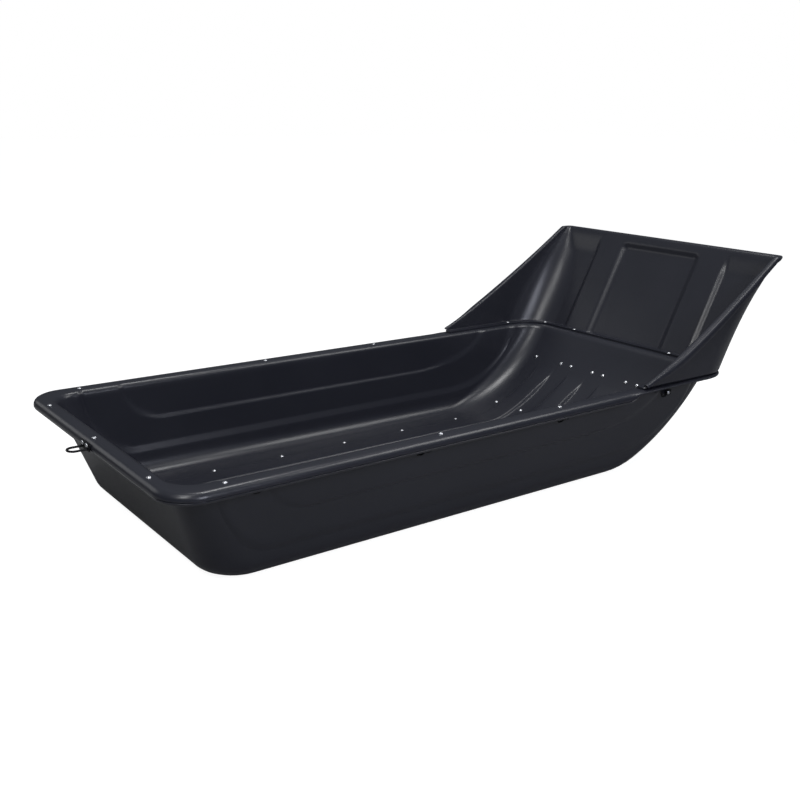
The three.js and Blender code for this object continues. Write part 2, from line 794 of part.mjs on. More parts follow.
function rimTubeGeometry() {
  const radius = tubeDiameter / 2;
  let tube = tubeSweep(radius, 0).subtract(tubeSweep(radius - tubeWall, cutOverrun));
  for (const [, place] of rimRivetPlaces()) {
    tube = tube.subtract(rivetHoleSolid(place, 0, rimRivetDepth + seatGap));
  }
  return geometryOf(tube);
}

// Lashing hook: a small plate on the wall with a bent wire that rises at its end
function hookGeometry(sign) {
  const half = hookPlateLength / 2;
  const plate = box(
    -half, half, -hookPlateHeight / 2, hookPlateHeight / 2, seatGap, seatGap + hookPlateThickness,
  );
  const rise = -sign * hookRise;
  const route = [
    [-half + hookWire, 0, seatGap + hookPlateThickness],
    [-half - hookWire / 2, 0, hookReach / 2],
    [-half - hookLength / 2, -rise / 2, hookReach],
    [-half - hookLength, -rise / 4, hookReach],
    [-half - hookLength - hookWire / 2, rise, hookReach - hookWire / 2],
  ];
  const curve = new THREE.CatmullRomCurve3(route.map((point) => new THREE.Vector3(...point)));
  const section = new THREE.Shape();
  section.absarc(0, 0, hookWire / 2, 0, 2 * Math.PI);
  const wire = new THREE.ExtrudeGeometry(section, {
    steps: 2 * cornerSteps, curveSegments: roundSteps / 4, extrudePath: curve, bevelEnabled: false,
  });
  const hole = rivetHoleSolid(new THREE.Matrix4(), hookReach, hookReach);
  return geometryOf(plate.add(solidOf(wire)).subtract(hole));
}

// Tow eye: a plate on the rear lip with a bar loop welded to it
function towRivetPlaces() {
  const back = new THREE.Vector3(-1, 0, 0);
  const face = -seatGap - towPlateThickness;
  return [["left", 1], ["right", -1]].map(([side, sign]) => {
    const point = new THREE.Vector3(face, (sign * towRivetSpacing) / 2, towRivetHeight);
    return [`tow_rivet_${side}`, placed(point, back)];
  });
}

function towEyeGeometry() {
  const face = -seatGap - towPlateThickness;
  let eye = box(
    face, -seatGap, -towPlateWidth / 2, towPlateWidth / 2, towPlateBottom, towPlateBottom + towPlateHeight,
  );
  const straight = towLoopLength - towLoopRadius - towBar / 2;
  const stations = [];
  const up = new THREE.Vector3(0, 0, 1);
  const station = (x, y, angle) => {
    const out = new THREE.Vector3(-Math.cos(angle), Math.sin(angle), 0);
    return [new THREE.Vector3(x, y, towBarHeight), out];
  };
  stations.push(station(face + towPlateThickness / 2, towLoopRadius, Math.PI / 2));
  for (let i = 0; i <= 2 * cornerSteps; i += 1) {
    const angle = (Math.PI / 2) * (1 - i / cornerSteps);
    const x = face - straight - towLoopRadius * Math.cos(angle);
    stations.push(station(x, towLoopRadius * Math.sin(angle), angle));
  }
  stations.push(station(face + towPlateThickness / 2, -towLoopRadius, -Math.PI / 2));
  const bar = loftOpen(stations.map(([point, out]) => {
    const ring = [];
    for (let i = 0; i < roundSteps; i += 1) {
      const angle = (2 * Math.PI * i) / roundSteps;
      const spoke = out.clone().multiplyScalar(Math.cos(angle)).addScaledVector(up, Math.sin(angle));
      ring.push(point.clone().addScaledVector(spoke, towBar / 2).toArray());
    }
    return ring;
  }));
  eye = eye.add(bar);
  for (const [, place] of towRivetPlaces()) {
    eye = eye.subtract(rivetHoleSolid(place, cutOverrun, cutOverrun));
  }
  return geometryOf(eye);
}

// The sled: every piece in its place, then moved so that the ground point below its middle is the origin
const assembly = new THREE.Group();
assembly.name = "ice_fishing_sled";

function addPiece(name, geometry, finish, place) {
  const piece = new THREE.Mesh(geometry, finish);
  piece.name = name;
  if (place) {
    piece.applyMatrix4(place);
  }
  assembly.add(piece);
}

addPiece("tub", tubGeometry(), plastic);
addPiece("snow_shield", shieldGeometry(), plastic);
addPiece("rim_tube", rimTubeGeometry(), blackSteel);
keelCentres().forEach((centre, i) => {
  addPiece(`runner_${i + 1}`, runnerGeometry(centre), runnerPlastic);
});
for (const [name, place] of rimRivetPlaces()) {
  addPiece(name, rivetGeometry(rimRivetDepth), zinc, place);
}
for (const [name, place] of shieldRivetPlaces()) {
  addPiece(name, rivetGeometry(2 * sheetWall + 2 * seatGap), zinc, place);
}
for (const [name, place] of runnerRivetPlaces()) {
  addPiece(name, rivetGeometry(sheetWall + runnerThickness - seatGap), zinc, place);
}
for (const [name, sign, point, out] of hookPlaceList()) {
  const onPlate = point.clone().addScaledVector(out, seatGap + hookPlateThickness);
  addPiece(`lashing_hook_${name}`, hookGeometry(sign), blackSteel, placed(point, out));
  addPiece(`hook_rivet_${name}`, rivetGeometry(2 * sheetWall), zinc, placed(onPlate, out));
}
addPiece("tow_eye", towEyeGeometry(), blackSteel);
for (const [name, place] of towRivetPlaces()) {
  addPiece(name, rivetGeometry(towPlateThickness + towRivetDepth), zinc, place);
}

const extent = new THREE.Box3().setFromObject(assembly, true);
assembly.position.x = -(extent.min.x + extent.max.x) / 2;

export default assembly;
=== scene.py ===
# %% [markdown]
# An ice fishing sled: a black moulded tub with a rolled rim, and a snow shield riveted on its bow.
# The CAD model is the frame. It has every piece in its true place, but its faces are flat facets.
# Here the tub, the shield and the small hardware are made again as smooth pieces, in the same
# places.

# %% Load the frame
import math
from collections import namedtuple
import bmesh
import bpy
from mathutils import Matrix, Vector


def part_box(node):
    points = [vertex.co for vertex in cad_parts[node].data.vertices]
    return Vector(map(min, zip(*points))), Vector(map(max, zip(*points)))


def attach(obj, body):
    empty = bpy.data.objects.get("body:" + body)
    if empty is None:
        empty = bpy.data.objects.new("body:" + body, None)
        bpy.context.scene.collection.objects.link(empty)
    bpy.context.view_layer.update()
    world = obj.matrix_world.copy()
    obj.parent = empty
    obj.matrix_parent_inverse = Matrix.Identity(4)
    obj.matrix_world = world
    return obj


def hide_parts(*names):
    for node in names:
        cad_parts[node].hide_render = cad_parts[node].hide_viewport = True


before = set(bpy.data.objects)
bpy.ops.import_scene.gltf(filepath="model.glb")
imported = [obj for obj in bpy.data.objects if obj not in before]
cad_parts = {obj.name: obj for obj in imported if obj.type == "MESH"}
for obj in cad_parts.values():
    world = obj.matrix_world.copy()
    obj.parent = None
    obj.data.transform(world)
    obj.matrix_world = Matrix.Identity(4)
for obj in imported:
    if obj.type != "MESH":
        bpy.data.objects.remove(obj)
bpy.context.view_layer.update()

# %% [markdown]
# Lengths are in metres. In the sizes below, x is counted from the outer edge of the rear rim,
# because that is how a maker would measure a sled. The frame has its origin below the middle of
# the whole sled, so the last step of each moulding moves it back by the rear rim's own x, read
# from the CAD tub.

# %% Sizes of the tub's sheet and rim
rear_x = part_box("tub")[0].x
sheet = 0.005
rim_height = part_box("tub")[1].z
rim_front_trim = 0.014
rim_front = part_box("tub")[1].x - rear_x - rim_front_trim
rim_half_width = 0.400
rim_rear_corner = 0.076
rim_front_corner = 0.120
rim_edge_radius = 0.014
rim_inner_radius = 0.012
print("rear rim at x", round(rear_x, 4))
print("rim", round(rim_front, 4), "long and", round(rim_height, 4), "high")

# %% [markdown]
# A moulding is full of soft changes from one size to another. Two ways to blend are used
# throughout: a straight mix, and a smooth step that leaves and arrives gently. A third helper
# lists the stops between two values, which become rows of small faces.


# %% Small helpers for blending
def mix(start, end, share):
    return start + (end - start) * share


def smooth_step(start, end, value):
    share = min(max((value - start) / (end - start), 0.0), 1.0)
    return share * share * (3 - 2 * share)


def spread(start, end, count):
    """Evenly spaced values after start, up to and including end."""
    return [mix(start, end, (n + 1) / count) for n in range(count)]


print("a quarter of the way, straight and smooth:", mix(0, 1, 0.25), smooth_step(0, 1, 0.25))

# %% [markdown]
# The hull was pressed from one sheet, so its inside can be described level by level. At each
# height there is a rounded rectangle. Its four faces come from simple curves: a small round foot
# and a straight leaning wall at the sides and the rear, and one long arc for the bow. All of them
# are the faces inside the tub, and the sheet's thickness is added behind them at the end.

# %% Sizes of the walls
floor_height = 0.0103
foot_top = 0.0453
side_foot_centre = 0.295
side_lean = math.radians(4.7)
rear_foot_centre = 0.149
rear_foot_top = 0.0553
rear_lean = math.radians(19.5)
bow_radius = 0.498
bow_centre_x = 1.0952
bow_centre_z = 0.4921
bow_foot_radius = 0.150
bow_foot_x = 1.2001
bow_foot_top = 0.0173
print("the walls rise", round(rim_height - floor_height, 4), "from the floor to the rim")


# %% Where each wall's face is at a height
def leaning_face(height, centre, top, lean):
    """Distance of a wall's face from the middle line of its round foot."""
    radius = top - floor_height
    if height < top - radius * math.sin(lean):
        return centre + math.sqrt(max(radius ** 2 - (top - height) ** 2, 0.0))
    return centre + radius / math.cos(lean) + (height - top) * math.tan(lean)


def side_face(height):
    return leaning_face(height, side_foot_centre, foot_top, side_lean)


def rear_face(height):
    return -leaning_face(height, -rear_foot_centre, rear_foot_top, rear_lean)


def bow_face(height):
    if height < bow_foot_top:
        below = floor_height + bow_foot_radius - height
        return bow_foot_x + math.sqrt(max(bow_foot_radius ** 2 - below ** 2, 0.0))
    return bow_centre_x + math.sqrt(bow_radius ** 2 - (bow_centre_z - height) ** 2)


print("at the rim: side", round(side_face(rim_height), 4), "rear", round(rear_face(rim_height), 4),
      "bow", round(bow_face(rim_height), 4))

# %% Outlines: the rounded rectangle at one height
Outline = namedtuple("Outline", "rear front half_width rear_corner front_corner height")
rear_corner_low = 0.095
rear_corner_high = 0.060
bow_corner_low = 0.080
bow_corner_high = 0.066


def wall_outline(height, flare=0.0):
    foot = side_face(foot_top) - side_face(min(height, foot_top))
    rear_corner = mix(rear_corner_low, rear_corner_high, height / rim_height) - sheet - foot
    bow_corner = mix(bow_corner_low, bow_corner_high, height / rim_height) - sheet - foot
    return Outline(rear_face(height) - flare, bow_face(height) + flare, side_face(height) + flare,
                   rear_corner + flare, bow_corner + flare, height)


def rim_outline(inset, height):
    return Outline(inset, rim_front - inset, rim_half_width - inset,
                   rim_rear_corner - inset, rim_front_corner - inset, height)


def blend_outlines(inner, outer, share):
    return Outline(*(mix(a, b, share) for a, b in zip(inner, outer)))


print("floor's edge:", [round(size, 3) for size in wall_outline(floor_height)])

# %% [markdown]
# The grid that becomes the tub has a rectangular core, which is the flat floor, and rings of
# squares round it. Ring after ring goes out over the floor's edge, round the foot, up the wall,
# over the rim and down the lip. Rings lie closer together where a ledge crosses the wall. Each
# ring notes how far it has left the core, how much of the side panels it takes part in, and how
# far down the lip it is.

# %% Rings of the floor and the walls
TubRing = namedtuple("TubRing", "outline left_core panel_share lip_share", defaults=(1.0, 1.0, 0.0))
quarter_turn = math.pi / 2
flat_rings = 2
foot_rings = 7
wall_top = rim_height - rim_inner_radius
wall_stretches = ((0.056, 2), (0.080, 10), (0.130, 6), (0.146, 7), (wall_top, 8))


def floor_and_foot_rings():
    floor_edge = wall_outline(floor_height)
    rings = [TubRing(floor_edge, left_core=n / (flat_rings + 1)) for n in range(1, flat_rings + 1)]
    for n in range(foot_rings + 1):
        angle = quarter_turn * n / foot_rings
        height = foot_top - (foot_top - floor_height) * math.cos(angle)
        rings.append(TubRing(wall_outline(height)))
    return rings


def wall_rings():
    rings, reached = [], foot_top
    for top, count in wall_stretches:
        rings += [TubRing(wall_outline(height)) for height in spread(reached, top, count)]
        reached = top
    return rings


tub_rings = floor_and_foot_rings() + wall_rings()
print("rings up to the rim:", len(tub_rings))

# %% Rings of the rim and its lip
inner_rim_rings = 5
flange_rings = 2
edge_rings = 5
lip_rings = 4


def rim_rings():
    rings = []
    for angle in spread(0.0, quarter_turn, inner_rim_rings):
        height = wall_top + rim_inner_radius * math.sin(angle)
        rings.append(TubRing(wall_outline(height, rim_inner_radius * (1 - math.cos(angle)))))
    inner_edge = rings[-1].outline
    outer_edge = rim_outline(rim_edge_radius, rim_height)
    for share in spread(0.0, 1.0, flange_rings):
        flange_outline = blend_outlines(inner_edge, outer_edge, share)
        rings.append(TubRing(flange_outline, panel_share=1.0 - share))
    for angle in spread(0.0, quarter_turn, edge_rings):
        inset = rim_edge_radius * (1 - math.sin(angle))
        height = rim_height - rim_edge_radius * (1 - math.cos(angle))
        rings.append(TubRing(rim_outline(inset, height), panel_share=0.0))
    lip_outline = rim_outline(0.0, rim_height - rim_edge_radius)
    return rings + [TubRing(lip_outline, panel_share=0.0, lip_share=share)
                    for share in spread(0.0, 1.0, lip_rings)]


tub_rings += rim_rings()
print("rings up to the lip's edge:", len(tub_rings))

# %% [markdown]
# Columns of the grid cross the rings. They are close together where the shape changes quickly: at
# the edges of the floor's ribs, and at both ends of the side panels.

# %% Columns along and across the tub
core_rear = 0.168
core_front = 1.165
core_half_width = 0.240
length_stretches = ((0.03, 8), (0.13, 34), (0.54, 14), (0.28, 46), (0.02, 4))
rib_centres = (-0.186, -0.062, 0.062, 0.186)
rib_base_half = 0.0365
rib_top_half = 0.0290
rib_margin = 0.001
gap_columns = 3
slope_columns = 5
top_columns = 4


def length_shares():
    shares = [0.0]
    for part, count in length_stretches:
        shares += spread(shares[-1], shares[-1] + part, count)
    return shares


def width_columns():
    columns = [-core_half_width]
    for centre in rib_centres:
        columns += spread(columns[-1], centre - rib_base_half - rib_margin, gap_columns)
        columns += spread(columns[-1], centre - rib_top_half + rib_margin, slope_columns)
        columns += spread(columns[-1], centre + rib_top_half - rib_margin, top_columns)
        columns += spread(columns[-1], centre + rib_base_half + rib_margin, slope_columns)
    return columns + spread(columns[-1], core_half_width, gap_columns)


along = length_shares()
across = width_columns()
print("columns:", len(along), "along and", len(across), "across")

# %% [markdown]
# A point of a ring lies on its rear or bow end, on a side, or on one of its corners. Each helper
# gives x and y on the outline, and the level direction that faces out of the tub there. The
# columns of the grid's corners are shared out evenly along the straight rest of the end and round
# the corner.


# %% A point on an outline, with the direction that faces out of the tub
def outline_end(outline, end):
    """The x, corner radius and straight half width at the bow (end 1) or the rear (end -1)."""
    if end > 0:
        return outline.front, outline.front_corner, outline.half_width - outline.front_corner
    return outline.rear, outline.rear_corner, outline.half_width - outline.rear_corner


def on_end(outline, end, y):
    x, radius, straight = outline_end(outline, end)
    beyond = max(abs(y) - straight, 0.0)
    level = math.sqrt(radius ** 2 - beyond ** 2)
    outward = Vector((end * level, math.copysign(beyond, y), 0)) / radius
    return x - end * (radius - level), y, outward


def on_corner(outline, end, side, share):
    """From the last column of the end (share 0) round to the first column of the side (share 1)."""
    x, radius, straight = outline_end(outline, end)
    first = math.asin(max(core_half_width - straight, 0.0) / radius)
    flat = max(straight - core_half_width, 0.0)
    walked = share * (flat + radius * (quarter_turn - first))
    if walked < flat:
        return x, side * (core_half_width + walked), Vector((end, 0, 0))
    angle = first + (walked - flat) / radius
    return (x - end * radius * (1 - math.cos(angle)), side * (straight + radius * math.sin(angle)),
            Vector((end * math.cos(angle), side * math.sin(angle), 0)))


def on_side(outline, side, share):
    side_rear = outline.rear + outline.rear_corner
    side_front = outline.front - outline.front_corner
    return mix(side_rear, side_front, share), side * outline.half_width, Vector((0, side, 0))


print("left end of the rear rim's corner:", on_corner(rim_outline(0.0, rim_height), -1, 1, 1.0)[:2])

# %% [markdown]
# The side walls have two raised panels, a long one and a shorter one that stands on it. Seen from
# inside they are recesses, whose lower edges end in quarter ellipses. A straight slope with a
# small bend at each end gives the soft ledge of a moulding. The distance to an ellipse is found
# well enough by dividing its level by its slope.

# %% Side panels
Ellipse = namedtuple("Ellipse", "x z width height")
Panel = namedtuple("Panel", "depth ledge end_ledge bottom rear front")
lower_panel = Panel(depth=0.005, ledge=0.019, end_ledge=0.010, bottom=0.078,
                    rear=Ellipse(x=0.235, z=0.250, width=0.120, height=0.172),
                    front=Ellipse(x=1.182, z=0.262, width=0.253, height=0.184))
upper_panel = Panel(depth=0.004, ledge=0.010, end_ledge=0.007, bottom=0.143,
                    rear=Ellipse(x=0.310, z=0.245, width=0.100, height=0.102),
                    front=Ellipse(x=1.061, z=0.255, width=0.265, height=0.112))
ledge_bend = 0.0025
ledge_narrowing_rise = 0.050
least_level = 0.001
print("panels stand out", lower_panel.depth, "and", upper_panel.depth)


# %% How deep a panel is at a point of the wall
def ledge_step(width, bend, distance):
    """Falls from 1 to 0 over the width: a straight slope with a small round bend at each end."""
    share, bent = min(max(distance / width, 0.0), 1.0), bend / width
    if share > 0.5:
        return 1 - ledge_step(width, bend, width * (1 - share))
    if share < bent:
        return 1 - share ** 2 / (2 * bent * (1 - bent))
    return 1 - (share - bent / 2) / (1 - bent)


def outside_ellipse(x, z, ellipse):
    across_part, down_part = (x - ellipse.x) / ellipse.width, (z - ellipse.z) / ellipse.height
    level = math.hypot(across_part, down_part)
    slope = math.hypot(across_part / ellipse.width, down_part / ellipse.height)
    slope /= max(level, least_level)
    return (level - 1) / slope


def panel_depth(x, z, panel):
    narrowed = smooth_step(panel.bottom, panel.bottom + ledge_narrowing_rise, z)
    ledge = mix(panel.ledge, panel.end_ledge, narrowed)
    if x < panel.rear.x:
        outside = outside_ellipse(x, z, panel.rear)
    elif x > panel.front.x:
        outside = outside_ellipse(x, z, panel.front)
    else:
        outside = panel.bottom - z
    return panel.depth * ledge_step(ledge, ledge_bend, outside)


for panel in (lower_panel, upper_panel):
    print("depth in the middle of the ledge:",
          round(panel_depth(bow_centre_x, panel.bottom - panel.ledge / 2, panel), 5))

# %% [markdown]
# Between the five keels the floor stands up in four flat-topped ribs, which start just in front of
# the rear wall and fade out on the bow. They could be joined on as blocks, but lifting the sheet
# itself keeps it in one, as it is in the real moulding.

# %% Ribs of the floor
rib_height = 0.008
rib_rear = 0.175
rib_ramp = 0.020
rib_fade_start = math.radians(33)
rib_fade_end = math.radians(43.5)


def rib_rise(x, y):
    nearest = min(abs(y - centre) for centre in rib_centres)
    rise = rib_height * (1 - smooth_step(rib_top_half, rib_base_half, nearest))
    rise *= smooth_step(rib_rear, rib_rear + rib_ramp, x)
    if x > bow_centre_x:
        bow_angle = math.asin(min((x - bow_centre_x) / bow_radius, 1.0))
        rise *= 1 - smooth_step(rib_fade_start, rib_fade_end, bow_angle)
    return rise


print("rise on a rib and between ribs:",
      rib_rise(bow_centre_x, rib_centres[0]), rib_rise(bow_centre_x, 0.0))

# %% [markdown]
# The tub is a little narrower at the bow than at the rear. The rim ends in a round bead with a
# short lip that hangs down. Under the snow shield there is no room for it, so the bead and the lip
# run out to a flat edge there.

# %% The narrowing towards the bow, and the roll of the rim
bow_narrowing = 0.014
narrowing_inside = 0.015
narrowing_outside = 0.045
lip_depth = 0.017
lip_hollow = 0.0022
lip_front = 1.190
lip_fade = 0.030
front_drop_share = 0.3


def narrowed_y(x, y):
    from_y, to_y = core_half_width - narrowing_inside, core_half_width + narrowing_outside
    narrow = smooth_step(from_y, to_y, abs(y))
    return y * (1 - narrow * bow_narrowing / rim_half_width * x / rim_front)


def rolled_edge(x, height, lip_share):
    """The height of a point on the rim's bead or lip, and how far it is hollowed in."""
    rolled = 1 - smooth_step(lip_front - lip_fade, lip_front, x)
    drop = rim_height - height + (lip_depth - rim_edge_radius) * lip_share
    hollow = lip_hollow * math.sin(math.pi * lip_share) * rolled
    return rim_height - drop * mix(front_drop_share, 1.0, rolled), hollow


print("half width at the bow:", round(narrowed_y(rim_front, rim_half_width), 4))


# %% Where a corner of the grid meets the core and its ring
def beside_core(index, last):
    """How many squares an index lies before the core, and how many beyond it."""
    return max(-index, 0), max(index - last, 0)


def core_point(i, j):
    inside_i = min(max(i, 0), len(along) - 1)
    inside_j = min(max(j, 0), len(across) - 1)
    return mix(core_rear, core_front, along[inside_i]), across[inside_j]


def on_ring(outline, number, i, j):
    before, beyond = beside_core(i, len(along) - 1)
    right, left = beside_core(j, len(across) - 1)
    lengthways, sideways = max(before, beyond), max(right, left)
    end, side = 1 if beyond else -1, 1 if left else -1
    if lengthways == 0:
        return on_side(outline, side, along[i])
    if sideways == 0:
        return on_end(outline, end, across[j])
    step = sideways if lengthways == number else 2 * number - lengthways
    return on_corner(outline, end, side, step / (2 * number))


outermost = len(tub_rings)
print("rear right corner of the lip:",
      on_ring(tub_rings[-1].outline, outermost, -outermost, -outermost)[:2])


# %% Where each corner of the grid goes
def tub_point(i, j):
    """i and j count from the core's first corner: in the rear and right rings they are negative."""
    number = max(*beside_core(i, len(along) - 1), *beside_core(j, len(across) - 1))
    x, y = core_point(i, j)
    if number == 0:
        return Vector((x, y, floor_height))
    outline, left_core, panel_share, lip_share = tub_rings[number - 1]
    ring_x, ring_y, outward = on_ring(outline, number, i, j)
    ring_y = narrowed_y(ring_x, ring_y)
    height, hollow = outline.height, 0.0
    if panel_share == 0.0:
        height, hollow = rolled_edge(ring_x, height, lip_share)
    point = Vector((mix(x, ring_x, left_core), mix(y, ring_y, left_core), height))
    depth = panel_depth(point.x, height, lower_panel) + panel_depth(point.x, height, upper_panel)
    return point + outward * (depth * panel_share - hollow)


print("first corner of the core:", tub_point(0, 0))
print("the lip's edge behind it:", tub_point(-outermost, 0))

# %% [markdown]
# Every piece is finished the same way: the bmesh becomes a mesh with smooth shading, gets its
# material, and rides on the sled's one body. A moulding then gets its wall: Solidify puts the
# sheet's thickness behind the modelled face, and a small bevel takes the sharpness off the cut
# edge.

# %% Tools that finish a piece
cut_edge_parts = 5
cut_edge_segments = 2
cut_edge_angle = math.radians(50)


def to_object(name, bm, finish):
    """Turns a finished bmesh into a piece that rides on the sled and stays at the origin."""
    mesh = bpy.data.meshes.new(name)
    bm.to_mesh(mesh)
    bm.free()
    for polygon in mesh.polygons:
        polygon.use_smooth = True
    piece = bpy.data.objects.new(name, mesh)
    bpy.context.scene.collection.objects.link(piece)
    piece.data.materials.append(finish)
    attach(piece, "root")
    return piece


def thicken(piece, thickness):
    wall = piece.modifiers.new("wall", "SOLIDIFY")
    wall.thickness = thickness
    wall.offset = -1
    wall.use_quality_normals = True
    edge = piece.modifiers.new("edge", "BEVEL")
    edge.width = thickness / cut_edge_parts
    edge.segments = cut_edge_segments
    edge.limit_method = "ANGLE"
    edge.angle_limit = cut_edge_angle


print("cut edges are rounded by", sheet / cut_edge_parts)

# %% [markdown]
# The tub and the shield are black polyethylene. The moulding has a very fine grain, which breaks
# the light up into a satin sheen, with a bluish tint where it catches the sky. Roughness wanders a
# little over the surface, as it does on any large moulding. Pictures of the grain would need seams
# and would blur close up, so all patterns are noise that reads Object coordinates.


# %% Black moulded plastic
def new_finish(name, colour, roughness, metallic=0.0):
    finish = bpy.data.materials.new(name)
    finish.use_nodes = True
    shader = finish.node_tree.nodes["Principled BSDF"]
    shader.inputs["Base Color"].default_value = (*colour, 1.0)
    shader.inputs["Roughness"].default_value = roughness
    shader.inputs["Metallic"].default_value = metallic
    return finish, shader


black_plastic, black_shader = new_finish("black_moulded_plastic",
                                         colour=(0.017, 0.018, 0.025), roughness=0.3)
black_shader.inputs["Specular IOR Level"].default_value = 0.5
print("made", black_plastic.name)

# %% Its fine grain and its cloudy sheen
grain_detail = 2.0
grain_strength = 0.35
cloud_detail = 4.0
cloud_low = 0.15
cloud_high = 0.85


def add_pattern(finish, shader, grain_scale, grain_depth, cloud_scale, rough_from, rough_to):
    """A fine grain for the bump and a soft cloud for the roughness."""
    nodes, links = finish.node_tree.nodes, finish.node_tree.links
    place = nodes.new("ShaderNodeTexCoord")
    grain = nodes.new("ShaderNodeTexNoise")
    grain.inputs["Scale"].default_value = grain_scale
    grain.inputs["Detail"].default_value = grain_detail
    links.new(place.outputs["Object"], grain.inputs["Vector"])
    bump = nodes.new("ShaderNodeBump")
    bump.inputs["Strength"].default_value = grain_strength
    bump.inputs["Distance"].default_value = grain_depth
    links.new(grain.outputs["Fac"], bump.inputs["Height"])
    links.new(bump.outputs["Normal"], shader.inputs["Normal"])
    cloud = nodes.new("ShaderNodeTexNoise")
    cloud.inputs["Scale"].default_value = cloud_scale
    cloud.inputs["Detail"].default_value = cloud_detail
    links.new(place.outputs["Object"], cloud.inputs["Vector"])
    reach = nodes.new("ShaderNodeMapRange")
    reach.inputs["From Min"].default_value = cloud_low
    reach.inputs["From Max"].default_value = cloud_high
    reach.inputs["To Min"].default_value = rough_from
    reach.inputs["To Max"].default_value = rough_to
    links.new(cloud.outputs["Fac"], reach.inputs["Value"])
    links.new(reach.outputs["Result"], shader.inputs["Roughness"])
    return cloud


black_cloud = add_pattern(black_plastic, black_shader, grain_scale=700.0, grain_depth=0.0002,
                          cloud_scale=5.0, rough_from=0.27, rough_to=0.34)
print("nodes with the pattern:", len(black_plastic.node_tree.nodes))


# %% Its slight change of tint
def tint_by_cloud(finish, shader, cloud, dark, light):
    nodes, links = finish.node_tree.nodes, finish.node_tree.links
    ramp = nodes.new("ShaderNodeValToRGB")
    ramp.color_ramp.elements[0].position = cloud_low
    ramp.color_ramp.elements[0].color = (*dark, 1.0)
    ramp.color_ramp.elements[1].position = cloud_high
    ramp.color_ramp.elements[1].color = (*light, 1.0)
    links.new(cloud.outputs["Fac"], ramp.inputs["Fac"])
    links.new(ramp.outputs["Color"], shader.inputs["Base Color"])


tint_by_cloud(black_plastic, black_shader, black_cloud,
              dark=(0.015, 0.016, 0.0225), light=(0.019, 0.020, 0.0275))
print("nodes with the tint:", len(black_plastic.node_tree.nodes))

# %% [markdown]
# The tub itself is a flat grid from Blender, with as many squares as rings and columns ask for.
# Each corner is moved to its place, then the ribs are lifted along the normals, so that they also
# follow the bow. It could be carved from a block as well, but a grid keeps every ring in one even
# sheet, which takes its thickness cleanly.


# %% The tub
def make_tub():
    rings = len(tub_rings)
    squares_along = len(along) - 1 + 2 * rings
    squares_across = len(across) - 1 + 2 * rings
    bm = bmesh.new()
    bmesh.ops.create_grid(bm, x_segments=squares_along, y_segments=squares_across, size=0.5)
    for vert in bm.verts:
        i = round((vert.co.x + 0.5) * squares_along) - rings
        j = round((vert.co.y + 0.5) * squares_across) - rings
        vert.co = tub_point(i, j)
    bm.normal_update()
    lifts = [(vert, vert.normal * rib_rise(vert.co.x, vert.co.y)) for vert in bm.verts
             if abs(vert.co.y) < core_half_width]
    for vert, lift in lifts:
        vert.co += lift
    bmesh.ops.translate(bm, verts=bm.verts, vec=(rear_x, 0, 0))
    tub = to_object("tub_moulding", bm, black_plastic)
    thicken(tub, sheet)
    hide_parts("tub")
    return tub


tub = make_tub()
print("tub squares:", len(tub.data.polygons))

# %% [markdown]
# The snow shield is a second moulding: a leaning front with two wings whose edges slope down to
# the sides. It is stiffened by three recessed fields, by a lip that turns out all along its free
# edge, and by a flange at its foot that lies on the tub's rim. The wall is again a grid moved into
# place.

# %% Sizes of the shield
shield_base_front = 1.548
shield_top_front = 1.698
shield_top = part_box("snow_shield")[1].z
shield_base_half = 0.379
shield_top_half = 0.378
shield_base_corner = 0.105
shield_top_corner = 0.010
shield_least_corner = 0.009
corner_taper = 3
shield_wing_rear = 1.192
shield_wing_front = 1.680
shield_wing_curve = 0.84
shield_seat_gap = 0.0003
shield_foot = rim_height + shield_seat_gap + sheet
print("shield from", round(shield_foot, 4), "to", round(shield_top, 4), "high")

# %% Columns of the shield, from its middle out to the end of a wing
shield_rows = 66
middle_columns = 54
shoulder_columns = 16
corner_columns = 12
wing_columns = 36
middle_half = 0.270
half_columns = middle_columns + shoulder_columns + corner_columns + wing_columns
print("shield squares:", 2 * half_columns * shield_rows)

# %% Recessed fields of the front
field_depth = 0.009
middle_field_slope = 0.020
outer_field_slope = 0.012
field_bend = 0.0025
middle_field_half = 0.122
middle_field_top = 0.490
middle_top_slope = 0.020
outer_field_start = 0.222
outer_field_top = 0.502
outer_top_slope = 0.060


def field_depth_at(y, height):
    middle = ledge_step(middle_field_slope, field_bend, y - middle_field_half)
    middle *= 1 - smooth_step(middle_field_top - middle_top_slope, middle_field_top, height)
    outer = 1 - ledge_step(outer_field_slope, field_bend, y - outer_field_start)
    outer *= 1 - smooth_step(outer_field_top - outer_top_slope, outer_field_top, height)
    return field_depth * max(middle, outer)


print("depth in the middle of the foot:", field_depth_at(0.0, shield_foot))


